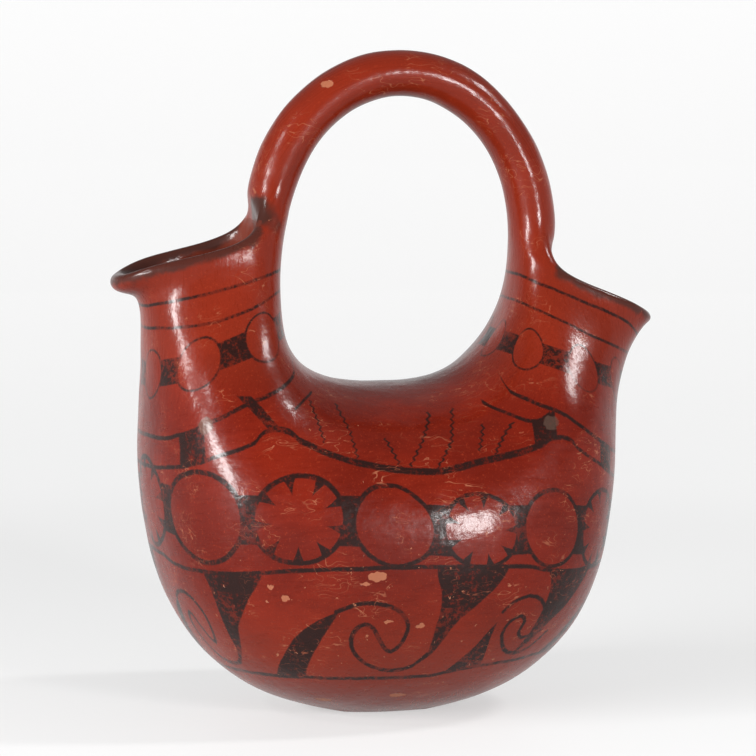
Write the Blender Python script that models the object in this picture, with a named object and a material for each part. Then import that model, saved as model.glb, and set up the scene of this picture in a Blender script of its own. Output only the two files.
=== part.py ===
"""A wedding vase of fired clay: a deep bowl that rises into two necks, with a strap handle over them.

The vase is one hollow solid. Its skin is lofted from the left mouth, down through the bowl and up to
the right mouth, and back again one wall's thickness inside. The handle grows out of the two rims.
X runs from the left spout to the right one, Y from front to back, and the foot stands on Z = 0.
All sizes are in metres. A squareness is a superellipse's exponent, so 2 is a plain ellipse.
"""

import math
from dataclasses import dataclass

import bmesh
import bpy
from mathutils import Vector

# Bowl
BODY_WIDTH = 0.2100
BODY_DEPTH = 0.1700
BELLY_HEIGHT = 0.1050
SADDLE_HEIGHT = 0.1438
FOOT_CUT = 0.0045
BELLY_LIFT = 0.11
BOWL_SQUARENESS = 2.0
DEPTH_FULLNESS = 0.65

# Wall
WALL = 0.0065
RIM_THICKNESS = 0.0050
FLOOR_THICKNESS = 0.0075

# Necks
NECK_DEPTH = 0.0480
MOUTH_DEPTH = 0.0530
NECK_SQUARENESS = 2.5
GAP_OFFSET = 0.0109

# Handle
GAP_HEIGHT = 0.1252
SPRING_RISE = 0.0642
ARCH_SQUARENESS = 2.0
HANDLE_THICKNESS = 0.0210
HANDLE_WIDTH = 0.0275
ROOT_STEP = 0.0030

# How sharply a mouth's own shape fades on the way down its neck
FLARE_FADE = 12
SWOOP_FADE = 12
DROOP_FADE = 24
ROOT_FADE = 10

# Mesh density
RING_CELLS = 18
ROOT_CELLS = 6
BOWL_STEPS = 5
NECK_SHARES = (0.60, 0.70, 0.80, 0.88, 0.94, 0.975, 1.0)
HANDLE_STEPS = 13

# The share of the way from the foot to a lip at which the belly is widest
BELLY_SHARE = 0.5


@dataclass
class Spout:
    """One neck and its mouth, on the left (side -1) or on the right (side 1).

    Rises are heights above the saddle, and reaches are distances from the gap's or bowl's middle.
    """

    side: int
    bowl_squareness: float
    neck_lean: float
    lip_reach: float
    lip_rise: float
    lip_curl: float
    lip_droop: float
    rim_rise: float
    rim_swoop: float
    swoop_sharpness: float
    root_rise: float
    gap_reach: float
    gap_lean: float
    arch_inset: float
    turn_rise: float
    turn_squareness: float
    turn_share: float


LEFT = Spout(
    side=-1,
    bowl_squareness=2.28,
    neck_lean=0.0020,
    lip_reach=0.0150,
    lip_rise=0.0512,
    lip_curl=22.0,
    lip_droop=0.0110,
    rim_rise=0.0637,
    rim_swoop=0.0135,
    swoop_sharpness=2.5,
    root_rise=0.0040,
    gap_reach=0.0545,
    gap_lean=0.0050,
    arch_inset=0.0048,
    turn_rise=0.0347,
    turn_squareness=2.8,
    turn_share=0.78,
)
RIGHT = Spout(
    side=1,
    bowl_squareness=2.48,
    neck_lean=0.0,
    lip_reach=0.0215,
    lip_rise=0.0295,
    lip_curl=2.9,
    lip_droop=0.0045,
    rim_rise=0.0555,
    rim_swoop=0.0050,
    swoop_sharpness=6.0,
    root_rise=0.0050,
    gap_reach=0.0505,
    gap_lean=0.0,
    arch_inset=0.0005,
    turn_rise=0.0535,
    turn_squareness=2.15,
    turn_share=0.97,
)


def signed_power(value, power):
    return math.copysign(abs(value) ** power, value)


def on_quarter(share, squareness):
    """Sine and cosine for a superellipse, at a share of its first quarter."""
    angle = share * math.pi / 2
    return signed_power(math.sin(angle), 2 / squareness), signed_power(math.cos(angle), 2 / squareness)


def roundness(count):
    """How far the corners of a cage with this many sides stand out of the round that it makes."""
    return 4 / (3 + math.cos(2 * math.pi / count))


def outer_point(spout, share):
    """The outer silhouette, from the middle of the foot (share 0) to the tip of the lip (share 1)."""
    half_width = BODY_WIDTH / 2
    if share <= BELLY_SHARE:
        across, drop = on_quarter(share / BELLY_SHARE, spout.bowl_squareness)
        height = BELLY_HEIGHT - (BELLY_HEIGHT + FOOT_CUT) * drop
        return Vector((spout.side * half_width * across, 0, height))
    climb = (share - BELLY_SHARE) / (1 - BELLY_SHARE)
    height = BELLY_HEIGHT + (SADDLE_HEIGHT + spout.lip_rise - BELLY_HEIGHT) * climb
    reach = half_width - spout.neck_lean * climb + spout.lip_reach * climb**spout.lip_curl
    return Vector((spout.side * reach, 0, height))


def inner_point(spout, share):
    """The silhouette that faces the gap, from the middle of the saddle (share 0) to the rim."""
    reach, rise = spout.gap_reach, spout.turn_rise
    if share <= spout.turn_share:
        across, drop = on_quarter(share / spout.turn_share, spout.turn_squareness)
        reach *= across
        rise *= 1 - drop
    else:
        climb = (share - spout.turn_share) / (1 - spout.turn_share)
        reach -= spout.gap_lean * climb**3
        rise += (spout.rim_rise - spout.turn_rise) * climb
    return Vector((GAP_OFFSET + spout.side * reach, 0, SADDLE_HEIGHT + rise))


def half_depth(share):
    """Half of the vase's depth, front to back, from the middle of the bowl up to a mouth."""
    fullness = math.cos(share * math.pi / 2) ** 2
    neck = NECK_DEPTH / 2
    flare = (MOUTH_DEPTH - NECK_DEPTH) / 2 * share**FLARE_FADE
    return neck + (BODY_DEPTH / 2 - neck) * fullness**DEPTH_FULLNESS + flare


def section(spout, share):
    """One closed section of the skin, from the gap's side round through the front."""
    inner, outer = inner_point(spout, share), outer_point(spout, share)
    middle, half = (inner + outer) / 2, (outer - inner) / 2
    depth = half_depth(share)
    power = 2 / (BOWL_SQUARENESS + (NECK_SQUARENESS - BOWL_SQUARENESS) * share**2)
    lift = BELLY_LIFT * (1 - share) ** 2
    swell = roundness(RING_CELLS)
    points = []
    for cell in range(RING_CELLS):
        angle = 2 * math.pi * cell / RING_CELLS
        toward_gap, toward_lip = (1 + math.cos(angle)) / 2, max(-math.cos(angle), 0)
        along = signed_power(math.cos(angle), power)
        aside = signed_power(math.sin(angle), power)
        point = middle - half * (along + lift * (1 - along**2)) * swell
        point.y = -depth * aside * swell
        point.z += spout.rim_swoop * toward_gap**spout.swoop_sharpness * share**SWOOP_FADE
        point.z -= spout.lip_droop * toward_lip**4 * share**DROOP_FADE
        points.append(point)
    return points


def stations():
    """Every section's spout and share, from the left mouth round the bowl to the right mouth."""
    bowl = [BELLY_SHARE * step / BOWL_STEPS for step in range(BOWL_STEPS + 1)]
    shares = [*bowl, *NECK_SHARES]
    return [(LEFT, share) for share in reversed(shares)] + [(RIGHT, share) for share in shares[1:]]


def ring_edges(bm, ring):
    return [bm.edges.get((a, b)) for a, b in zip(ring, ring[1:] + ring[:1])]


def extrude_ring(bm, ring, points):
    """Extrudes a closed ring of edges to new points, and returns the new ring in the same order."""
    made = bmesh.ops.extrude_edge_only(bm, edges=ring_edges(bm, ring))["geom"]
    fresh = {item for item in made if isinstance(item, bmesh.types.BMVert)}
    following = []
    for vert, point in zip(ring, points):
        twin = next(edge.other_vert(vert) for edge in vert.link_edges if edge.other_vert(vert) in fresh)
        twin.co = point
        following.append(twin)
    return following


def bridge(bm, ring, other):
    bmesh.ops.bridge_loops(bm, edges=ring_edges(bm, ring) + ring_edges(bm, other))


def loft_skin(bm):
    """The outer skin, as a list of rings from the left mouth to the right one."""
    first, *others = [section(*station) for station in stations()]
    ring = bmesh.ops.create_circle(bm, segments=RING_CELLS, radius=1)["verts"]
    for vert, point in zip(ring, first):
        vert.co = point
    rings = [ring]
    for points in others:
        rings.append(extrude_ring(bm, rings[-1], points))
    return rings


def thickness_at(cell, normal, share):
    """The wall is thinner at the rims, and thicker under the bowl and below the handle's roots."""
    toward_gap = max(math.cos(2 * math.pi * cell / RING_CELLS), 0)
    wall = WALL - (WALL - RIM_THICKNESS) * share**FLARE_FADE
    root = (HANDLE_THICKNESS - ROOT_STEP - RIM_THICKNESS) * toward_gap**2 * share**ROOT_FADE
    floor = (FOOT_CUT + FLOOR_THICKNESS - WALL) * max(-normal.z, 0) ** 6
    return wall + root + floor


def line_skin(bm, rings):
    """Adds the inner skin and the two rims, and returns the inner rings in the outer ones' order."""
    bmesh.ops.recalc_face_normals(bm, faces=bm.faces)
    outward = 1 if rings[len(rings) // 2][0].normal.z > 0 else -1
    layers = []
    for ring, (_, share) in zip(rings, stations()):
        normals = [vert.normal * outward for vert in ring]
        layers.append([vert.co - normal * thickness_at(cell, normal, share)
                       for cell, (vert, normal) in enumerate(zip(ring, normals))])
    inner = [extrude_ring(bm, rings[-1], layers[-1])]
    for points in reversed(layers[:-1]):
        inner.append(extrude_ring(bm, inner[-1], points))
    inner.reverse()
    bridge(bm, inner[0], rings[0])
    return inner


def open_root(bm, outer, inner):
    """Takes away the rim's faces where the handle stands, and returns the loop round the opening."""
    half = ROOT_CELLS // 2
    span = [cell % RING_CELLS for cell in range(-half, half + 1)]
    loop = [outer[cell] for cell in span] + [inner[cell] for cell in reversed(span)]
    faces = []
    for a, b in zip(span, span[1:]):
        corners = {outer[a], outer[b], inner[a], inner[b]}
        faces.extend(face for face in outer[a].link_faces if set(face.verts) == corners)
    bmesh.ops.delete(bm, geom=faces, context="FACES")
    return loop


def handle_sections():
    """The handle's sections over the gap, from just above the left rim to just above the right."""
    left, right = (GAP_OFFSET + spout.side * (spout.gap_reach - spout.arch_inset) for spout in (LEFT, RIGHT))
    swell = roundness(2 * HANDLE_STEPS)
    reach = ((right - left) / 2 + HANDLE_THICKNESS / 2) * swell
    rise = (GAP_HEIGHT - SPRING_RISE + HANDLE_THICKNESS / 2) * swell
    roots = [spout.rim_rise + spout.rim_swoop + spout.root_rise - SPRING_RISE for spout in (LEFT, RIGHT)]
    first, last = (math.asin(root / rise) for root in roots)
    power = 2 / ARCH_SQUARENESS
    corners = 2 * ROOT_CELLS + 2
    swell = roundness(corners)
    sections = []
    for step in range(HANDLE_STEPS + 1):
        angle = first + (math.pi - first - last) * step / HANDLE_STEPS
        across, up = signed_power(math.cos(angle), power), signed_power(math.sin(angle), power)
        centre = Vector(((left + right) / 2 - reach * across, 0, SADDLE_HEIGHT + SPRING_RISE + rise * up))
        inward = Vector((rise * math.cos(angle), 0, -reach * math.sin(angle))).normalized()
        points = []
        for corner in range(corners):
            turn = 2 * math.pi * (corner - ROOT_CELLS / 2) / corners
            point = centre + inward * (HANDLE_THICKNESS / 2 * math.cos(turn) * swell)
            point.y = -HANDLE_WIDTH / 2 * math.sin(turn) * swell
            points.append(point)
        sections.append(points)
    return sections


def raise_handle(bm, outer, inner):
    """Extrudes the handle from the left rim, over the gap, and joins it to the right rim."""
    ring = open_root(bm, outer[0], inner[0])
    goal = open_root(bm, outer[-1], inner[-1])
    for points in handle_sections():
        ring = extrude_ring(bm, ring, points)
    bridge(bm, ring, goal)


def smoothed(cage):
    """A mesh of the cage after one round of subdivision."""
    obj = bpy.data.objects.new("cage", cage)
    bpy.context.scene.collection.objects.link(obj)
    modifier = obj.modifiers.new("smooth", "SUBSURF")
    modifier.levels = 1
    modifier.render_levels = 1
    result = bpy.data.meshes.new_from_object(obj.evaluated_get(bpy.context.evaluated_depsgraph_get()))
    bpy.data.objects.remove(obj)
    return result


def stand_level(bm):
    """Cuts the foot flat on Z = 0, and brings the middle of the vase over the origin."""
    cut = bmesh.ops.bisect_plane(
        bm,
        geom=[*bm.verts, *bm.edges, *bm.faces],
        plane_co=(0, 0, 0),
        plane_no=(0, 0, 1),
        clear_inner=True,
    )["geom_cut"]
    bmesh.ops.contextual_create(bm, geom=[item for item in cut if isinstance(item, bmesh.types.BMEdge)])
    places = [vert.co for vert in bm.verts]
    middle = [(min(place[axis] for place in places) + max(place[axis] for place in places)) / 2
              for axis in range(2)]
    bmesh.ops.translate(bm, verts=bm.verts, vec=(-middle[0], -middle[1], 0))
    bmesh.ops.recalc_face_normals(bm, faces=bm.faces)


def clay():
    material = bpy.data.materials.new("burnished_clay")
    material.use_nodes = True
    shader = material.node_tree.nodes["Principled BSDF"]
    shader.inputs["Base Color"].default_value = (0.27, 0.030, 0.012, 1)
    shader.inputs["Roughness"].default_value = 0.32
    shader.inputs["Metallic"].default_value = 0.0
    return material


def build_vase():
    bm = bmesh.new()
    outer = loft_skin(bm)
    inner = line_skin(bm, outer)
    raise_handle(bm, outer, inner)
    cage = bpy.data.meshes.new("vase_cage")
    bm.to_mesh(cage)
    bm.free()
    mesh = smoothed(cage)
    mesh.name = "vase"
    bm = bmesh.new()
    bm.from_mesh(mesh)
    stand_level(bm)
    bm.to_mesh(mesh)
    bm.free()
    mesh.shade_smooth()
    mesh.set_sharp_from_angle(angle=math.radians(40))
    mesh.materials.clear()
    mesh.materials.append(clay())
    bpy.context.scene.collection.objects.link(bpy.data.objects.new("vase", mesh))


def main():
    for obj in list(bpy.data.objects):
        bpy.data.objects.remove(obj)
    build_vase()


main()
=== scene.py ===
"""A painted wedding vase of burnished clay, on a pale studio floor.

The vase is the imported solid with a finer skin. Its slip, its painted bands and its wear are worked out
by its shader from the place on the pot, in millimetres, and from the angle round the bowl, in degrees.
Angle 0 faces the front (-Y), and angles grow towards the lower spout (+X).
"""

import math

import bmesh
import bpy
from bpy.props import FloatProperty, FloatVectorProperty, PointerProperty
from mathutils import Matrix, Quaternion, Vector, noise
from mathutils.kdtree import KDTree


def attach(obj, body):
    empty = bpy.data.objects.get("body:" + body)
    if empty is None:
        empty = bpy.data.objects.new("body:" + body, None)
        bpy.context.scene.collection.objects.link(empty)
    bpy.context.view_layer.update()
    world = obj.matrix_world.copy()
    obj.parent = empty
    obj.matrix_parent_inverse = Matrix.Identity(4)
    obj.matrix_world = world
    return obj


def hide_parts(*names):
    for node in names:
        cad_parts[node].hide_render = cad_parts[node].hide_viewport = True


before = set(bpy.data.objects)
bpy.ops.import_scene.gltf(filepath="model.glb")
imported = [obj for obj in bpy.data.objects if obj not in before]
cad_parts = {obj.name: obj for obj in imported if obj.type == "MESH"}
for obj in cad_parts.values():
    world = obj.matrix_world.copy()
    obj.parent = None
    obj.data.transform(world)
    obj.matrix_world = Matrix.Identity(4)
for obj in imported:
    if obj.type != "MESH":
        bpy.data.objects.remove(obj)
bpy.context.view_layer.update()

bl_info = {
    "name": "Painted wedding vase",
    "version": (1, 0, 0),
    "blender": (4, 5, 0),
    "location": "3D View > Sidebar > Vase",
    "description": "Dresses the packed vase in burnished slip and painted bands, and sets it in a studio",
    "category": "Object",
}

# Millimetres to a metre
MILLIMETRES = 1000.0

# Axes of the bowl and of the two necks: middle along X, half width and half depth, in millimetres
BOWL_AXIS = (-3.5, 105.0, 85.0)
LEFT_NECK_AXIS = (-78.0, 31.0, 33.0)
RIGHT_NECK_AXIS = (80.0, 28.0, 33.0)

# Belt of discs: disc numbers, middle heights, half heights and the line under them, by angle
DISC_PLACES = ((-180, -4.265), (-151.3, -3), (-106, -1), (-83.3, 0), (-52.9, 1), (-27.9, 2), (-6.1, 3),
               (15.1, 4), (33.1, 5), (50, 6), (72.7, 7), (118, 9), (163.3, 11), (180, 11.735))
DISC_HEIGHTS = ((-180, 90), (-120, 93), (-83, 95.5), (-52.9, 93), (-27.9, 93.6), (-6, 90.3), (15, 87.3),
                (33, 86.8), (50, 84), (90, 84.5), (130, 87), (180, 90))
DISC_HALVES = ((-180, 17), (-90, 19), (-52.9, 19.4), (-27.9, 18.2), (-6, 16.7), (15, 15.5), (33, 16.3),
               (50, 16.6), (120, 17), (180, 17))
BELT_LINE = ((-180, 70.5), (-120, 73), (-88.7, 73.5), (-69.8, 70), (-56.6, 69.3), (-37.3, 70.9),
             (-27.5, 72.2), (-5.6, 73.1), (16.5, 72.1), (27.3, 71), (49.4, 67), (90, 68), (130, 69.5),
             (180, 70.5))
# How far a ring is from its disc's middle as a share of the way to the next disc, and in millimetres
DISC_SHARE = 0.455
DISC_RADIUS = 17.5
# How far the bars between the discs stay from the discs' middle height
BAR_HALF = 10.5
TOOTH_COUNT = 9
TOOTH_DEPTH = 0.40
TOOTH_WIDTH = 0.40

# Scroll band: wedge numbers and the line under the band, by angle
WEDGE_PLACES = ((-180, -2.463), (-154.9, -2), (-100.6, -1), (-46.4, 0), (11.2, 1), (42.4, 2), (96.6, 3),
                (150.9, 4), (180, 4.537))
BASE_LINE = ((-180, 24), (-120, 23), (-70, 22), (-30, 22.3), (0, 22), (12.6, 23.5), (24, 26), (36, 27.2),
             (58, 28.7), (90, 29), (130, 26.5), (180, 24))
# Edges of the hanging wedges, in degrees from their middle, and of the rising ones, as a share of the
# way to the next wedge, by height
HANGING_LEFT = ((22, -9.5), (30, -9.5), (33.2, -8.5), (46, -7.6), (57, -7.2), (69, -8.8), (80, -9.5))
HANGING_RIGHT = ((22, -22), (26.8, -14), (31.7, -7.9), (39, -4.3), (44.4, -2.6), (51.7, 0.9), (58.8, 4.4),
                 (65, 7.3), (70, 8.9), (80, 10))
RISING_LEFT = ((18, 0.0), (22, 0.02), (24.8, 0.05), (34.4, 0.165), (43.3, 0.25), (49.6, 0.335),
               (54.5, 0.425), (60, 0.5))
RISING_RIGHT = ((18, 0.19), (22, 0.207), (33.9, 0.292), (41.2, 0.347), (49.7, 0.403), (54.5, 0.43),
                (60, 0.44))
NARROW_SHIFT = ((18, 0.22), (22, 0.2), (26, 0.15), (35.6, 0.01), (42.3, -0.06), (49.7, -0.09),
                (60, -0.06))
RISING_TOP = 54.5
# Degrees from one wedge to the next, and millimetres to a degree
WIDE_CELL = 57.6
COMMON_CELL = 54.24
NARROW_CELL = 31.2
DEGREE = 1.66
# The scroll in a wide cell, as shares of the cell and heights, and in the narrow one, in degrees
WIDE_SCROLL = ((0.422, 54.3), (0.49, 57), (0.56, 57.9), (0.635, 56.5), (0.69, 52.9), (0.719, 48),
               (0.714, 43), (0.69, 38.5), (0.648, 35.3), (0.613, 37.8), (0.585, 42.5), (0.562, 46.6),
               (0.528, 48.3), (0.49, 46), (0.467, 41.3), (0.475, 35.6), (0.52, 30.1), (0.595, 26.5),
               (0.684, 25.8), (0.783, 27.6), (0.852, 33.2))
NARROW_SCROLL = ((22.2, 51.6), (24.5, 55.9), (28.6, 57.9), (32.4, 55.6), (34.9, 50.5), (36.1, 44.0),
                 (34.6, 39.6), (31.5, 38.4), (29.4, 41.4), (29.7, 46.4), (28, 49.3), (25.2, 46.7),
                 (24.6, 40.7), (28, 33.8), (33.2, 31.0), (38, 33.2), (41.0, 39.9))

# Half widths of the painted lines, in millimetres
RING_LINE = 1.0
STANDING_LINE = 0.95
SCROLL_LINE = 0.95
TIGHT_SCROLL_LINE = 0.8
LOWEST_LINE = 0.85
UPPER_RIM_LINE = 0.6
LOWER_RIM_LINE = 0.55
SHOULDER_LINE = 0.75
CORNER_LINE = 0.7
RAY_LINE = 0.45
STROKE_LINE = 0.5
NECK_RING_LINE = 0.42
# The distance across a sloping line, as a share of the distance straight up
SLOPE_SHARE = 0.85
# Millimetres added to a mark's distance where the mark isn't painted
FAR_AWAY = 100

# Lines that follow the two rims, as heights by place along X
FIRST_NECK_LINE = ((-112, 178.6), (-99.1, 182.2), (-88.3, 184.6), (-71.2, 189.1), (-54.6, 193.6), (-46, 196),
                   (-38, 222), (38, 222), (50, 196), (58.8, 190.5), (69, 185.8), (81.8, 180.1), (91.9, 176),
                   (102.9, 170.7), (112, 163.5))
SECOND_NECK_LINE = ((-112, 170), (-98.4, 171.3), (-85.5, 173.4), (-74.8, 176.3), (-65.9, 179.4),
                    (-55.2, 183.9), (-46, 188.5), (-38, 215), (38, 215), (47, 185), (56, 179.8),
                    (69.9, 172.8), (83.2, 166.1), (103.4, 157.4), (112, 154))
UPPER_SHOULDER = ((-112, 124.6), (-104.6, 124.4), (-98.6, 126.9), (-85.8, 133.9), (-79.4, 137.3),
                  (-69.3, 141.9), (-60.1, 145.2), (-48.5, 151.8), (-42, 170), (36, 170), (44.7, 143),
                  (54.3, 138.4), (63.1, 135.1), (71.4, 129.4), (80.6, 123.2), (93.2, 115.4), (112, 108))
LOWER_SHOULDER = ((-112, 110.2), (-100.7, 112.8), (-94, 115.5), (-86.7, 119.1), (-79, 122), (-70.8, 125.3),
                  (-61, 130.8), (-50.7, 125.7), (-38, 119.8), (-25.6, 115.9), (-11.7, 113.6), (3.2, 112.1),
                  (14.7, 113.4), (27.9, 115.8), (39.6, 118), (53.6, 121.8), (61, 124.8), (70.6, 119.4),
                  (80, 113.1), (92.3, 105.1), (112, 98))
LENS_CORNER = ((20, 148), (32.8, 138.8), (42.8, 133.8), (51.6, 131.5), (56, 133), (62, 138))
LENS_RAYS = (
    ((-42.8, 140.8), (-39.7, 124.9)),
    ((-30.5, 138.4), (-27.5, 128.6), (-26.9, 118.3)),
    ((-12.5, 125.2), (-8.5, 114.7)),
    ((9.9, 134.3), (1.9, 122.2), (-4.2, 114.6)),
    ((20.4, 135.6), (15.4, 123.4), (7.4, 113.6)),
    ((30.9, 129.8), (27.1, 120.1)),
    ((43.3, 130.6), (38.6, 125.9), (33.6, 118.5)),
)
LENS_STROKE = ((-51.4, 138.4), (-41.7, 143.8))
# Along X: where the shoulders' bands end towards the saddle, the middle and half width of the block of
# paint on each, the middle and half width of the lens's upper line, and the ends of its right block
SADDLE_END = 43
LEFT_BLOCK = (-94.3, 4.4)
RIGHT_BLOCK = (86, 3.6)
LENS_REACH = (46, 13)
LENS_BLOCK = (50.5, 61)

# Discs round the necks: disc numbers by angle, then the height where X is 0, the slope along X, the
# half height, the ring's share of the way to the next disc and the half height of the bars
LEFT_NECK_DISCS = ((-180, -2.53), (-155.5, -2), (-109.4, -1), (-63.2, 0), (-18.4, 1), (26.4, 2), (66, 3),
                   (112.2, 4), (158.3, 5), (180, 5.47))
LEFT_NECK_ROW = (190.6, 0.376, 10.2, 0.33, 5.4)
RIGHT_NECK_DISCS = ((-180, -3.94), (180, 6.06))
RIGHT_NECK_ROW = (179.3, -0.345, 9.4, 0.29, 4.7)
NECK_RING_RADIUS = 9

# Where the necks begin and where the handle does, as the heights between which one fades into the other
NECK_FADE = (126, 150)
HANDLE_FADE = (206, 226)
# Middle of the handle's arch, along X and up
ARCH_MIDDLE = (6.5, 205)

# Worn places, in millimetres: where each is, its radius and how flat it is
CHIPS = (
    ((-21.9, -83, 69.5), 4.3, 1.9), ((-26.9, -82, 66.4), 2.8, 3.4), ((-65.2, -70, 64.9), 1.5, 1.0),
    ((-59.1, -71, 60.2), 1.9, 1.2), ((-16.0, -77, 49.4), 2.0, 1.8), ((-1.9, -77, 47.1), 2.4, 2.0),
    ((-4.3, -46, 11.9), 4.0, 3.0), ((-35.0, -35, 9.5), 4.0, 3.0), ((-27.6, -10, 274.7), 3.0, 1.5),
    ((-52.0, 66, 48.0), 4.2, 1.6), ((24.0, 80, 62.0), 3.2, 2.0), ((70.0, 45, 40.0), 2.8, 1.4),
)
LOST_PAINT = ((-89.3, -52, 131.6), 3.9, 1.0)
GREY_SCAR = ((58.6, -64, 130.7), 3.6, 1.0)
FIRE_CLOUD = ((-59.0, -9, 215.5), 12.0, 1.0)

# Lining, in metres: how high it reaches in each neck and in the bowl, how far from the middle the
# necks begin, and the middles of the necks and of the bowl, which its faces look towards
LEFT_LINING_TOP = 0.216
RIGHT_LINING_TOP = 0.204
BOWL_LINING_TOP = 0.128
NECK_START = 0.045
LEFT_MIDDLE = -0.078
RIGHT_MIDDLE = 0.0825
BOWL_MIDDLE = (-0.0035, 0, 0.075)

# Soft boxes: azimuth, elevation and roll in degrees, then distance, width, height and power
SOFT_BOXES = (
    ("left_box", (-64, 12, -32), 1.5, 0.90, 0.14, 46),
    ("high_left_box", (-75, 36, 0), 1.5, 0.14, 0.14, 4),
    ("front_right_box", (21, 12, 0), 1.6, 0.19, 0.40, 27),
    ("high_right_box", (77, 43, 0), 1.5, 0.15, 0.30, 13),
)
LAMP_TARGET = (0, 0, 0.13)
# What the camera looks at, and how far it is moved aside to the left
CAMERA_TARGET = (0.001, 0, 0.1454)
CAMERA_SHIFT = 0.0035
# The backdrop's outline from the middle outward, and its glow by the distance from the middle
SWEEP = ((0.3, 0), (0.9, 0), (1.8, 0), (2.2, 0.03), (2.5, 0.15), (2.7, 0.4), (2.8, 0.9))
GLOW = ((0, 0.49), (0.4, 0.49), (0.9, 0.59), (1.6, 0.66), (2.8, 0.72))


class Number:
    """A number that the clay's shader works out at every point of the pot."""

    def __init__(self, tree, socket):
        self.tree = tree
        self.socket = socket

    def made(self, operation, *values):
        """What a sum of this kind makes of the values."""
        node = self.tree.nodes.new("ShaderNodeMath")
        node.operation = operation
        for slot, value in zip(node.inputs, values):
            plug(self.tree, slot, value)
        return Number(self.tree, node.outputs[0])

    def __add__(self, other):
        return self.made("ADD", self, other)

    def __sub__(self, other):
        return self.made("SUBTRACT", self, other)

    def __rsub__(self, other):
        return self.made("SUBTRACT", other, self)

    def __mul__(self, other):
        return self.made("MULTIPLY", self, other)

    def __truediv__(self, other):
        return self.made("DIVIDE", self, other)

    def __abs__(self):
        return self.made("ABSOLUTE", self)

    def scaled(self, factor, offset):
        return self.made("MULTIPLY_ADD", self, factor, offset)

    def lesser(self, other):
        return self.made("MINIMUM", self, other)

    def greater(self, other):
        return self.made("MAXIMUM", self, other)

    def rounded(self):
        return self.made("ROUND", self)

    def fraction(self):
        return self.made("FRACT", self)

    def floor(self):
        return self.made("FLOOR", self)

    def equals(self, value):
        """1 where the number is within a quarter of the value, and 0 elsewhere."""
        return self.made("COMPARE", self, value, 0.25)

    def over(self, value):
        return self.made("GREATER_THAN", self, value)

    def with_legs(self, other):
        """The long side over two short ones."""
        return self.made("SQRT", self.made("MULTIPLY_ADD", self, self, other * other))

    def share(self):
        """The number held between 0 and 1."""
        node = self.tree.nodes.new("ShaderNodeClamp")
        plug(self.tree, node.inputs[0], self)
        return Number(self.tree, node.outputs[0])

    def turn(self, other):
        """The angle of this number over the other, in turns."""
        return self.made("ARCTAN2", self, other) * (0.5 / math.pi)

    def step(self, low, high):
        """0 below low, 1 above high, and smooth between them."""
        node = self.tree.nodes.new("ShaderNodeMapRange")
        node.interpolation_type = "SMOOTHSTEP"
        node.clamp = False
        plug(self.tree, node.inputs["Value"], self)
        node.inputs["From Min"].default_value = low
        node.inputs["From Max"].default_value = high
        return Number(self.tree, node.outputs["Result"])

    def freehand(self, points):
        """The height of a smooth line through the points, this number along it."""
        start, end = points[0][0], points[-1][0]
        low, high = min(y for _, y in points), max(y for _, y in points)
        node = self.tree.nodes.new("ShaderNodeFloatCurve")
        share = self.scaled(1 / (end - start), -start / (end - start))
        plug(self.tree, node.inputs["Value"], share)
        marks = node.mapping.curves[0].points
        for index, (x, y) in enumerate(points):
            place = ((x - start) / (end - start), (y - low) / (high - low))
            if index in (0, len(points) - 1):
                marks[index].location = place
            else:
                marks.new(*place)
        node.mapping.extend = "HORIZONTAL"
        node.mapping.update()
        return Number(self.tree, node.outputs[0]).scaled(high - low, low)


class Place:
    """A place that the clay's shader works out, such as one on the pot or on one of its charts."""

    def __init__(self, tree, socket):
        self.tree = tree
        self.socket = socket

    def made(self, operation, *values):
        """What a sum of this kind makes of the places, which is a number for a length or a distance."""
        node = self.tree.nodes.new("ShaderNodeVectorMath")
        node.operation = operation
        slots = node.inputs
        if operation == "SCALE":
            slots = (node.inputs[0], node.inputs["Scale"])
        for slot, value in zip(slots, values):
            plug(self.tree, slot, value)
        output = "Value" if operation in ("DOT_PRODUCT", "LENGTH", "DISTANCE") else "Vector"
        kind = Number if output == "Value" else Place
        return kind(self.tree, node.outputs[output])

    def __add__(self, other):
        return self.made("ADD", self, other)

    def __sub__(self, other):
        return self.made("SUBTRACT", self, other)

    def __mul__(self, other):
        return self.made("MULTIPLY", self, other)

    def scaled(self, factor):
        return self.made("SCALE", self, factor)

    def parts(self):
        """Its numbers along X, Y and Z."""
        node = self.tree.nodes.new("ShaderNodeSeparateXYZ")
        plug(self.tree, node.inputs[0], self)
        return [Number(self.tree, output) for output in node.outputs]

    def grain(self, size, detail=2.0, roughness=0.5):
        """Even noise from 0 to 1, with lumps of this size."""
        node = self.tree.nodes.new("ShaderNodeTexNoise")
        plug(self.tree, node.inputs["Vector"], self)
        node.inputs["Scale"].default_value = 1 / size
        node.inputs["Detail"].default_value = detail
        node.inputs["Roughness"].default_value = roughness
        return Number(self.tree, node.outputs[0])

    def shaken(self, size, reach):
        """The place moved by up to reach, in lumps of this size."""
        node = self.tree.nodes.new("ShaderNodeTexNoise")
        plug(self.tree, node.inputs["Vector"], self)
        node.inputs["Scale"].default_value = 1 / size
        node.inputs["Detail"].default_value = 1.0
        spread = Place(self.tree, node.outputs["Color"]) - (0.5, 0.5, 0.5)
        return self + spread.scaled(2 * reach)

    def line(self, points):
        """The distance from a line through the points."""
        nearest = None
        for start, end in zip(points, points[1:]):
            start, end = Vector((*start, 0)), Vector((*end, 0))
            way = end - start
            offset = self - start
            along = offset.made("DOT_PRODUCT", offset, way / way.length_squared).share()
            foot = offset.made("SCALE", way, along)
            distance = offset.made("DISTANCE", offset, foot)
            nearest = distance if nearest is None else nearest.lesser(distance)
        return nearest


def plug(tree, slot, value):
    """Feeds a node's input with what another node works out, or with a plain value."""
    if isinstance(value, (Number, Place)):
        tree.links.new(value.socket, slot)
    else:
        slot.default_value = value


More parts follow.
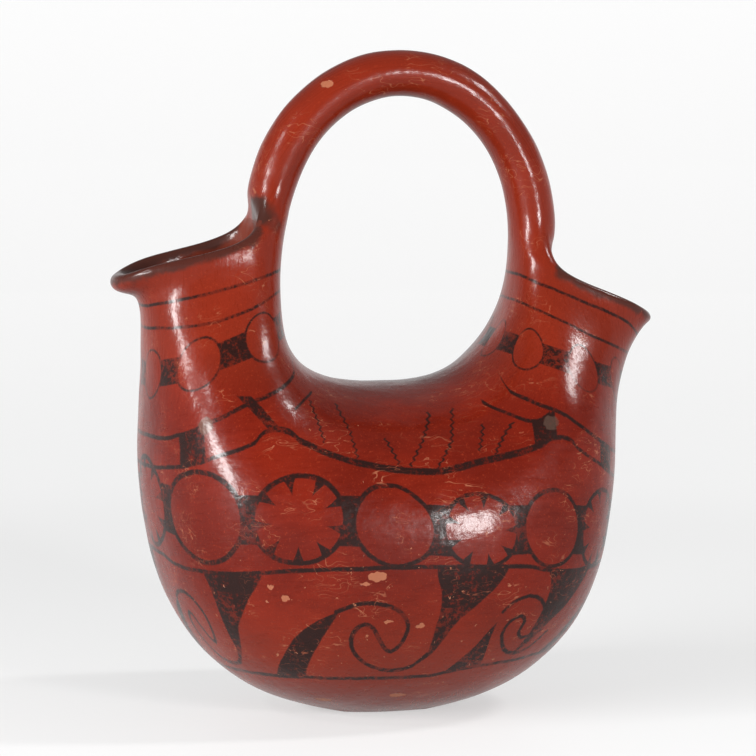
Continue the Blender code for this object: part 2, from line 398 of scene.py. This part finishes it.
def chart(x, y):
    """A flat place from two numbers."""
    node = x.tree.nodes.new("ShaderNodeCombineXYZ")
    plug(x.tree, node.inputs[0], x)
    plug(x.tree, node.inputs[1], y)
    return Place(x.tree, node.outputs[0])


def rounded(points):
    """The points with one more in each stretch, on a smooth curve through them."""
    curve = []
    last = len(points) - 1
    for index in range(last):
        near = [points[min(max(index + step, 0), last)] for step in (-1, 0, 1, 2)]
        middle = tuple((9 * (b + c) - (a + d)) / 16 for a, b, c, d in zip(*near))
        curve.extend((points[index], middle))
    return curve + [points[last]]


def nearest_of(fields):
    """The least of several distances."""
    nearest = fields[0]
    for field in fields[1:]:
        nearest = nearest.lesser(field)
    return nearest


def angle_round(x, y, axis):
    """The angle round an upright axis, in degrees."""
    middle, half_width, half_depth = axis
    across = x.scaled(1 / half_width, -middle / half_width)
    return across.turn(y * (-1 / half_depth)) * 360


def along_line(x, height, points, half_width):
    """A painted line at a height that changes along X."""
    return abs(height - x.freehand(points)) * SLOPE_SHARE - half_width


def off_stretch(x, stretch):
    """How far this is outside a stretch along X, given by its middle and half its length."""
    middle, half = stretch
    return abs(x - middle) - half


def discs(order, height, middle, half, share, gap):
    """Rings in a row, with the corners between them filled up to the gap above and below."""
    aside = (order - order.rounded()) * (1 / share)
    up = (height - middle) / half
    spread = aside.with_legs(up)
    fill = (abs(height - middle) - gap).greater((1 - spread) * 12)
    return aside, up, spread, fill


def belt(angle, height):
    """The belt of plain and toothed discs, and the line that it stands on."""
    order = angle.freehand(DISC_PLACES)
    half = angle.freehand(DISC_HALVES)
    aside, up, spread, fill = discs(order, height, angle.freehand(DISC_HEIGHTS), half, DISC_SHARE, BAR_HALF)
    inward = 1 - spread
    ring = abs(inward) * DISC_RADIUS - RING_LINE
    turn = aside.turn(up).scaled(TOOTH_COUNT, 0.1) + order.rounded() * 0.17
    from_tip = abs((turn + 0.5).fraction() - 0.5) * (2 / TOOTH_WIDTH)
    tooth = inward - (1 - from_tip) * TOOTH_DEPTH
    tooth = (tooth * 12).greater(inward * -DISC_RADIUS)
    plain = abs(order.rounded().made("MODULO", order.rounded(), 2.0))
    line = abs(height - angle.freehand(BELT_LINE)) - STANDING_LINE
    return nearest_of([ring, tooth + plain * FAR_AWAY, fill, line])


def scrolls(angle, height):
    """The band of wedges and running scrolls, and the line under it."""
    order = angle.freehand(WEDGE_PLACES)
    cell = order.floor()
    narrow = cell.equals(1)
    width = (narrow * (NARROW_CELL - COMMON_CELL) + cell.equals(0) * (WIDE_CELL - COMMON_CELL)) + COMMON_CELL
    share = order - cell
    aside = (order - order.rounded()) * width
    top, base = angle.freehand(BELT_LINE), angle.freehand(BASE_LINE)
    hanging = (height.freehand(HANGING_LEFT) - aside).greater(aside - height.freehand(HANGING_RIGHT)) * 1.3
    right = height.freehand(RISING_RIGHT) + height.freehand(NARROW_SHIFT) * narrow
    rising = (height.freehand(RISING_LEFT) - share).greater(share - right) * 70
    rising = rising.greater(height - RISING_TOP)
    curl = rounded([(u * WIDE_CELL * DEGREE, z) for u, z in WIDE_SCROLL])
    scroll = chart(share * (WIDE_CELL * DEGREE), height).line(curl)
    curl = rounded([(a * DEGREE, z) for a, z in NARROW_SCROLL])
    tight = chart(angle * DEGREE, height).line(curl)
    line = abs(height - base) - LOWEST_LINE
    wedges = hanging.lesser(rising).greater(height - top).greater(base - height)
    scroll = scroll + narrow * FAR_AWAY - SCROLL_LINE
    return nearest_of([wedges, scroll, tight - TIGHT_SCROLL_LINE, line])


def neck_discs(x, y, height, axis, places, row):
    """The small rings round one neck, in a row that tilts with its rim."""
    middle, slope, half, share, gap = row
    order = angle_round(x, y, axis).freehand(places)
    _, _, spread, fill = discs(order, height, x.scaled(slope, middle), half, share, gap)
    return (abs(1 - spread) * NECK_RING_RADIUS - NECK_RING_LINE).lesser(fill)


def shoulders(x, height):
    """The bands round the necks' feet, and the rayed lens on each side of the saddle."""
    upper = along_line(x, height, UPPER_SHOULDER, SHOULDER_LINE).greater(SADDLE_END - abs(x))
    low = x.freehand(LOWER_SHOULDER)
    bold = abs(x + 2).step(70, 50) * 0.45
    lower = abs(height - low) * SLOPE_SHARE - SHOULDER_LINE - bold
    band = (height - x.freehand(UPPER_SHOULDER)).greater(low - height)
    block = band.greater(off_stretch(x, LEFT_BLOCK).lesser(off_stretch(x, RIGHT_BLOCK)))
    corner = x.freehand(LENS_CORNER)
    corner_line = (abs(height - corner) * SLOPE_SHARE - CORNER_LINE).greater(off_stretch(x, LENS_REACH))
    start, end = LENS_BLOCK
    right_end = (height - corner).greater(low - height).greater(start - x).greater(x - end)
    left_end = (low - height).greater(abs(height.scaled(1, -130) + (x + 61) * 1.15) * 0.7 - 2.3)
    left_end = left_end.greater(height - 144).greater(x + 53)
    zigzag = height.made("PINGPONG", height * 0.42, 0.5) * 2.6
    ray_chart = chart(x + zigzag, height)
    rays = nearest_of([ray_chart.line(points) for points in LENS_RAYS]) - RAY_LINE
    stroke = chart(x, height).line(LENS_STROKE) - STROKE_LINE
    return nearest_of([upper, lower, block, corner_line, right_end, left_end, rays, stroke])


def necks(x, y, height):
    """The two lines that follow each rim, and the row of small rings under them."""
    first = along_line(x, height, FIRST_NECK_LINE, UPPER_RIM_LINE)
    second = along_line(x, height, SECOND_NECK_LINE, LOWER_RIM_LINE)
    left = neck_discs(x, y, height, LEFT_NECK_AXIS, LEFT_NECK_DISCS, LEFT_NECK_ROW)
    right = neck_discs(x, y, height, RIGHT_NECK_AXIS, RIGHT_NECK_DISCS, RIGHT_NECK_ROW)
    left = left + x.over(0) * FAR_AWAY
    right = right + (1 - x.over(0)) * FAR_AWAY
    return nearest_of([first, second, left, right])


def worn_place(place, spot):
    """How far inside a worn place this is, from its edge at 0."""
    (x, y, z), radius, flatness = spot
    offset = (place - (x, y, z)) * (1, 1, flatness)
    return radius - offset.made("LENGTH", offset)


def blend_colour(tree, share, first, second):
    """The first colour, with this share of the second over it."""
    node = tree.nodes.new("ShaderNodeMix")
    node.data_type = "RGBA"
    plug(tree, node.inputs["Factor"], share)
    for slot, colour in ((node.inputs[6], first), (node.inputs[7], second)):
        if isinstance(colour, bpy.types.NodeSocket):
            tree.links.new(colour, slot)
        else:
            slot.default_value = (*colour, 1)
    return node.outputs[2]


def attribute(tree, name):
    """A mark that the mesh carries, from 0 to 1."""
    node = tree.nodes.new("ShaderNodeAttribute")
    node.attribute_name = name
    return Number(tree, node.outputs["Fac"])


def burnished_clay(clay):
    """Red slip, burnished along each form, with black paint and its wear."""
    material = bpy.data.materials.new("painted_burnished_clay")
    material.use_nodes = True
    tree = material.node_tree
    shader = tree.nodes["Principled BSDF"]
    spot = tree.nodes.new("ShaderNodeTexCoord")
    place = Place(tree, spot.outputs["Object"]).scaled(MILLIMETRES)
    inside, lip = attribute(tree, "inside"), attribute(tree, "lip")

    drawn = place.shaken(14, 0.55)
    x, y, height = drawn.parts()
    angle = angle_round(x, y, BOWL_AXIS)
    bands = [belt(angle, height), scrolls(angle, height)]
    mark = nearest_of([*bands, shoulders(x, height), necks(x, y, height)])

    # Paint: its edge is rough, its coat is thin in places, and the lips are darkened
    fleck = place.grain(0.55, 3, 0.7)
    edge = mark + (fleck - 0.5) * 1.1
    outside = 1 - inside.step(0.3, 0.6)
    paint = edge.step(0.28, -0.28) * outside
    on_neck = height.step(*NECK_FADE)
    thin = place.grain(2.2, 4, 0.8) + (place.grain(19, 2, 0.5) - 0.5) * 0.55 - on_neck * 0.05
    paint = paint * thin.step(0.36, 0.50).scaled(0.58, 0.42)
    rim = (lip + (place.grain(6, 3, 0.6) - 0.5) * 0.7).step(0.28, 0.62)
    cloud = worn_place(place.shaken(6, 3.0), FIRE_CLOUD).step(-1.5, 2.5) * outside.scaled(0.5, 0.5)
    scorch = (rim * 0.85).greater(cloud * 0.95)

    # Slip: mottled on a large scale and streaked by the burnishing stone
    raw_x, raw_y, raw_z = place.parts()
    round_bowl = angle_round(raw_x, raw_y, BOWL_AXIS)
    level = (chart(round_bowl * 0.12, raw_z * 0.4) + place * (0.05, 0.05, 0.05)).grain(1.0, 2, 0.5)
    upright = (place * (0.75, 0.75, 0.045)).grain(1.0, 3, 0.6)
    arch_x, arch_z = ARCH_MIDDLE
    arch = (raw_z - arch_z).turn(raw_x - arch_x)
    reach = (raw_x - arch_x).with_legs(raw_z - arch_z)
    lengthwise = (chart(arch * 14, reach * 0.8) + (place * (0, 0.8, 0))).grain(1.0, 3, 0.6)
    on_handle = raw_z.step(*HANDLE_FADE)
    streak = level * (1 - on_neck) + upright * (on_neck - on_handle) + lengthwise * on_handle
    mottle = place.grain(34, 3, 0.55)
    tone = mottle.scaled(1.5, -0.25) + (streak - 0.5) * 0.5
    colour = blend_colour(tree, tone.step(0.2, 0.85), clay.deep_slip, clay.slip)
    thin_slip = raw_z.step(75, 15) * 0.55 + raw_z.step(132, 168) * 0.35
    colour = blend_colour(tree, thin_slip, colour, clay.pale_slip)
    specks = place.grain(0.9, 2, 0.6).step(0.60, 0.70) * 0.6
    colour = blend_colour(tree, specks, colour, clay.pale_slip)
    colour = blend_colour(tree, inside.step(0.25, 0.75) * 0.75, colour, clay.inner_clay)

    hair = abs((place.shaken(9, 4.0) * (0.05, 0.3, 0.35)).grain(1.0, 1, 0.5) - 0.5).step(0.014, 0.0)
    hair = hair * place.grain(17, 1, 0.5).step(0.50, 0.62)
    paint = paint * (1 - hair * 0.6)
    colour = blend_colour(tree, hair * 0.6, colour, clay.body)
    colour = blend_colour(tree, paint * clay.paint_cover, colour, clay.paint)
    colour = blend_colour(tree, scorch, colour, clay.scorch)

    # Wear: chips through to the pale body, a lost patch of paint and a grey scar
    rough_place = place.shaken(2.2, 1.3)
    chip = worn_place(rough_place, CHIPS[0])
    for other in CHIPS[1:]:
        chip = chip.greater(worn_place(rough_place, other))
    chip = chip.greater((place.grain(3.2, 3, 0.6) - raw_z.step(55, 95) * 0.05 - 0.69) * 30)
    chip = chip.step(0.0, 0.35) * outside
    colour = blend_colour(tree, chip * 0.8, colour, clay.body)
    lost = worn_place(rough_place, LOST_PAINT).step(0, 0.5)
    colour = blend_colour(tree, lost * 0.9, colour, clay.lost_patch)
    scar = worn_place(rough_place, GREY_SCAR).step(0, 0.8)
    colour = blend_colour(tree, scar * 0.7, colour, clay.scar)

    tree.links.new(colour, shader.inputs["Base Color"])
    gloss = (streak - 0.5).scaled(0.16, clay.roughness) + fleck.step(0.6, 0.8) * 0.05
    gloss = gloss + chip * 0.25 + inside.step(0.3, 0.7) * 0.22
    plug(tree, shader.inputs["Roughness"], gloss)
    shader.inputs["IOR"].default_value = 1.42
    shader.inputs["Specular IOR Level"].default_value = 0.09
    shader.inputs["Coat Weight"].default_value = 0.23
    shader.inputs["Coat Roughness"].default_value = 0.13
    shader.inputs["Coat IOR"].default_value = 1.45

    relief = streak * 0.35 + fleck * 0.12 + place.grain(6, 2, 0.5) * 1.1 - chip * 0.5
    bump = tree.nodes.new("ShaderNodeBump")
    bump.inputs["Strength"].default_value = 0.7
    bump.inputs["Distance"].default_value = 0.0003
    plug(tree, bump.inputs["Height"], relief)
    tree.links.new(bump.outputs["Normal"], shader.inputs["Normal"])
    tree.links.new(bump.outputs["Normal"], shader.inputs["Coat Normal"])
    return material


def smoothed(cage, levels):
    """A mesh of the cage after this many rounds of subdivision."""
    obj = bpy.data.objects.new("cage", cage)
    bpy.context.scene.collection.objects.link(obj)
    modifier = obj.modifiers.new("smooth", "SUBSURF")
    modifier.levels = levels
    modifier.render_levels = levels
    result = bpy.data.meshes.new_from_object(obj.evaluated_get(bpy.context.evaluated_depsgraph_get()))
    bpy.data.objects.remove(obj)
    return result


def four_sided(mesh):
    """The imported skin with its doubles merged, its triangles joined and its foot held sharp."""
    bm = bmesh.new()
    bm.from_mesh(mesh)
    bmesh.ops.remove_doubles(bm, verts=bm.verts, dist=1e-5)
    bmesh.ops.join_triangles(
        bm,
        faces=bm.faces,
        angle_face_threshold=math.radians(45),
        angle_shape_threshold=math.radians(70),
    )
    flat = [face for face in bm.faces if all(vert.co.z < 1e-5 for vert in face.verts)]
    bmesh.ops.dissolve_faces(bm, faces=flat)
    crease = bm.edges.layers.float.new("crease_edge")
    for edge in bm.edges:
        if all(vert.co.z < 1e-5 for vert in edge.verts):
            edge[crease] = 1.0
    for face in bm.faces:
        face.smooth = True
    cage = bpy.data.meshes.new("vase_cage")
    bm.to_mesh(cage)
    bm.free()
    return cage


def is_inner(place, normal):
    """Whether a point belongs to the lining, by where its normal looks from."""
    if place.z > (LEFT_LINING_TOP if place.x < 0 else RIGHT_LINING_TOP):
        return False
    if place.z > BOWL_LINING_TOP and abs(place.x) > NECK_START:
        middle = Vector((LEFT_MIDDLE if place.x < 0 else RIGHT_MIDDLE, 0, place.z))
    else:
        middle = Vector(BOWL_MIDDLE)
    return normal.dot(place - middle) < 0


def on_crest(place, normal):
    """Whether a point is on the crest of one of the rims."""
    left = place.x < -0.05 and 0.175 < place.z < 0.215
    right = place.x > 0.058 and 0.155 < place.z < 0.202
    return normal.z > 0.8 and (left or right)


def worked_by_hand(mesh, clay):
    """Moves the skin in and out a little, as hands leave it, and marks its lining and its lips."""
    normals = [vert.normal.copy() for vert in mesh.vertices]
    crest = [vert.co.copy() for vert in mesh.vertices if on_crest(vert.co, vert.normal)]
    tree = KDTree(len(crest))
    for index, place in enumerate(crest):
        tree.insert(place, index)
    tree.balance()
    inside = mesh.attributes.new("inside", "FLOAT", "POINT")
    lip = mesh.attributes.new("lip", "FLOAT", "POINT")
    for vert, normal in zip(mesh.vertices, normals):
        inside.data[vert.index].value = float(is_inner(vert.co, normal))
        lip.data[vert.index].value = max(0.0, 1 - tree.find(vert.co)[2] / clay.lip_reach)
        free = min(vert.co.z / 0.01, 1)
        wave = noise.noise(vert.co * 22) + 0.3 * noise.noise(vert.co * 75)
        vert.co += normal * (wave * clay.unevenness * free)


class ClaySettings(bpy.types.PropertyGroup):
    """Sizes and colours of the pot's skin."""

    unevenness: FloatProperty(
        name="Unevenness",
        description="How far the skin wanders in and out of its even form",
        default=0.0007,
        min=0,
        unit="LENGTH",
    )
    lip_reach: FloatProperty(
        name="Darkened lip",
        description="How far the dark of the lips reaches from their crest",
        default=0.0075,
        min=0.001,
        unit="LENGTH",
    )
    roughness: FloatProperty(
        name="Roughness",
        description="How dull the burnished slip is",
        default=0.29,
        min=0,
        max=1,
        subtype="FACTOR",
    )
    paint_cover: FloatProperty(
        name="Paint cover",
        description="How densely the black paint covers the slip",
        default=0.97,
        min=0,
        max=1,
        subtype="FACTOR",
    )
    slip: FloatVectorProperty(
        name="Slip",
        description="Colour of the red slip",
        default=(0.095, 0.0058, 0.0015),
        subtype="COLOR",
    )
    deep_slip: FloatVectorProperty(
        name="Deep slip",
        description="Colour of the slip where it is thickest",
        default=(0.063, 0.0036, 0.0010),
        subtype="COLOR",
    )
    pale_slip: FloatVectorProperty(
        name="Pale slip",
        description="Colour of the slip where it is thin",
        default=(0.138, 0.0155, 0.0054),
        subtype="COLOR",
    )
    inner_clay: FloatVectorProperty(
        name="Lining",
        description="Colour of the clay inside the pot",
        default=(0.080, 0.0155, 0.0080),
        subtype="COLOR",
    )
    body: FloatVectorProperty(
        name="Bare clay",
        description="Colour of the clay under the slip, seen in chips",
        default=(0.210, 0.074, 0.038),
        subtype="COLOR",
    )
    paint: FloatVectorProperty(
        name="Paint",
        description="Colour of the black paint",
        default=(0.0080, 0.0030, 0.0024),
        subtype="COLOR",
    )
    scorch: FloatVectorProperty(
        name="Scorch",
        description="Colour of the lips and of the fire cloud",
        default=(0.0240, 0.0085, 0.0062),
        subtype="COLOR",
    )
    lost_patch: FloatVectorProperty(
        name="Lost paint",
        description="Colour of the patch where paint and slip came off",
        default=(0.060, 0.020, 0.011),
        subtype="COLOR",
    )
    scar: FloatVectorProperty(
        name="Scar",
        description="Colour of the grey scar on the right shoulder",
        default=(0.040, 0.022, 0.016),
        subtype="COLOR",
    )


class StudioSettings(bpy.types.PropertyGroup):
    """The camera, the lights and the floor."""

    azimuth: FloatProperty(
        name="Azimuth",
        description="Where the camera stands round the pot, from the front",
        default=math.radians(-13),
        subtype="ANGLE",
    )
    elevation: FloatProperty(
        name="Elevation",
        description="How high the camera stands over the pot's middle",
        default=math.radians(5.3),
        subtype="ANGLE",
    )
    distance: FloatProperty(
        name="Distance",
        description="How far the camera stands from the pot",
        default=1.7,
        unit="LENGTH",
    )
    view_width: FloatProperty(
        name="View width",
        description="How wide the picture is at the pot",
        default=756 * 0.00044,
        unit="LENGTH",
    )
    floor_colour: FloatVectorProperty(
        name="Floor",
        description="Colour of the floor and of the backdrop",
        default=(0.27, 0.27, 0.27),
        subtype="COLOR",
    )
    glow: FloatProperty(
        name="Glow",
        description="How strongly the floor and the backdrop are lit from behind",
        default=1.0,
        min=0,
    )
    sky: FloatProperty(
        name="Sky",
        description="Strength of the even white light from all round",
        default=0.30,
        min=0,
    )
    lamps: FloatProperty(
        name="Lamps",
        description="Strength of the soft boxes, as a share of their usual power",
        default=1.0,
        min=0,
    )


class DressVase(bpy.types.Operator):
    """Makes the vase's finer skin and gives it its painted slip."""

    bl_idname = "vase.dress"
    bl_label = "Vase"

    def execute(self, context):
        clay = context.scene.vase_clay
        mesh = smoothed(four_sided(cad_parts["vase"].data), 2)
        mesh.name = "painted_vase"
        worked_by_hand(mesh, clay)
        mesh.materials.clear()
        mesh.materials.append(burnished_clay(clay))
        vase = bpy.data.objects.new("painted_vase", mesh)
        context.scene.collection.objects.link(vase)
        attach(vase, "root")
        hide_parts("vase")
        return {"FINISHED"}


def way_to(azimuth, elevation):
    """The direction to something that stands round the pot, azimuth 0 being the front."""
    flat = math.cos(elevation)
    return Vector((math.sin(azimuth) * flat, -math.cos(azimuth) * flat, math.sin(elevation)))


def soft_box(name, turns, distance, width, height, power):
    """A soft box that looks at the pot's middle."""
    azimuth, elevation, roll = (math.radians(degrees) for degrees in turns)
    lamp = bpy.data.lights.new(name, "AREA")
    lamp.shape = "RECTANGLE"
    lamp.size = width
    lamp.size_y = height
    lamp.energy = power
    obj = bpy.data.objects.new(name, lamp)
    way = way_to(azimuth, elevation)
    obj.location = Vector(LAMP_TARGET) + way * distance
    obj.rotation_euler = (way.to_track_quat("Z", "Y") @ Quaternion((0, 0, 1), roll)).to_euler()
    bpy.context.scene.collection.objects.link(obj)


def backdrop(studio):
    """A floor that sweeps up into a wall far behind, the same all round, and glows like a light table."""
    bm = bmesh.new()
    start = bm.verts.new((0.0, 0.0, 0.0))
    verts = [start] + [bm.verts.new((x, 0, z)) for x, z in SWEEP]
    edges = [bm.edges.new(pair) for pair in zip(verts, verts[1:])]
    bmesh.ops.spin(
        bm,
        geom=verts + edges,
        cent=(0, 0, 0),
        axis=(0, 0, 1),
        angle=math.tau,
        steps=72,
        use_merge=True,
    )
    bmesh.ops.remove_doubles(bm, verts=bm.verts, dist=1e-5)
    bmesh.ops.recalc_face_normals(bm, faces=bm.faces)
    mesh = bpy.data.meshes.new("backdrop")
    bm.to_mesh(mesh)
    bm.free()
    mesh.shade_smooth()
    material = bpy.data.materials.new("pale_floor")
    material.use_nodes = True
    tree = material.node_tree
    shader = tree.nodes["Principled BSDF"]
    shader.inputs["Base Color"].default_value = (*studio.floor_colour, 1)
    shader.inputs["Roughness"].default_value = 0.6
    shader.inputs["Specular IOR Level"].default_value = 0.2
    spot = tree.nodes.new("ShaderNodeTexCoord")
    x, y, _ = Place(tree, spot.outputs["Object"]).parts()
    glow = x.with_legs(y).freehand(GLOW)
    shader.inputs["Emission Color"].default_value = (1, 1, 1, 1)
    plug(tree, shader.inputs["Emission Strength"], glow * studio.glow)
    mesh.materials.append(material)
    obj = bpy.data.objects.new("backdrop", mesh)
    bpy.context.scene.collection.objects.link(obj)


class SetStudio(bpy.types.Operator):
    """Sets the floor, the soft boxes, the sky and the camera."""

    bl_idname = "vase.studio"
    bl_label = "Studio"

    def execute(self, context):
        studio = context.scene.vase_studio
        backdrop(studio)
        world = bpy.data.worlds.new("studio_sky")
        world.use_nodes = True
        sky = world.node_tree.nodes["Background"]
        sky.inputs["Color"].default_value = (1, 1, 1, 1)
        sky.inputs["Strength"].default_value = studio.sky
        context.scene.world = world
        context.scene.view_settings.view_transform = "Standard"
        for name, turns, distance, width, height, power in SOFT_BOXES:
            soft_box(name, turns, distance, width, height, power * studio.lamps)

        camera = bpy.data.cameras.new("camera")
        camera.sensor_width = 36
        camera.lens = 36 * studio.distance / studio.view_width
        obj = bpy.data.objects.new("camera", camera)
        back = way_to(studio.azimuth, studio.elevation)
        right = Vector((math.cos(studio.azimuth), math.sin(studio.azimuth), 0))
        aim = Vector(CAMERA_TARGET) - right * CAMERA_SHIFT
        obj.location = aim + back * studio.distance
        obj.rotation_euler = back.to_track_quat("Z", "Y").to_euler()
        context.scene.collection.objects.link(obj)
        context.scene.camera = obj
        return {"FINISHED"}


class VasePanel(bpy.types.Panel):
    """Lists the vase's settings, each group with the button that applies it."""

    bl_idname = "VIEW3D_PT_painted_vase"
    bl_label = "Painted vase"
    bl_space_type = "VIEW_3D"
    bl_region_type = "UI"
    bl_category = "Vase"

    def draw(self, context):
        layout = self.layout
        for settings, operator in (
            (context.scene.vase_clay, DressVase.bl_idname),
            (context.scene.vase_studio, SetStudio.bl_idname),
        ):
            column = layout.column()
            for name in settings.__annotations__:
                column.prop(settings, name)
            column.operator(operator)


CLASSES = (ClaySettings, StudioSettings, DressVase, SetStudio, VasePanel)


def register():
    for cls in CLASSES:
        bpy.utils.register_class(cls)
    bpy.types.Scene.vase_clay = PointerProperty(type=ClaySettings)
    bpy.types.Scene.vase_studio = PointerProperty(type=StudioSettings)


def unregister():
    del bpy.types.Scene.vase_studio
    del bpy.types.Scene.vase_clay
    for cls in reversed(CLASSES):
        bpy.utils.unregister_class(cls)


def main():
    register()
    bpy.ops.vase.dress()
    bpy.ops.vase.studio()


if __name__ == "__main__":
    main()
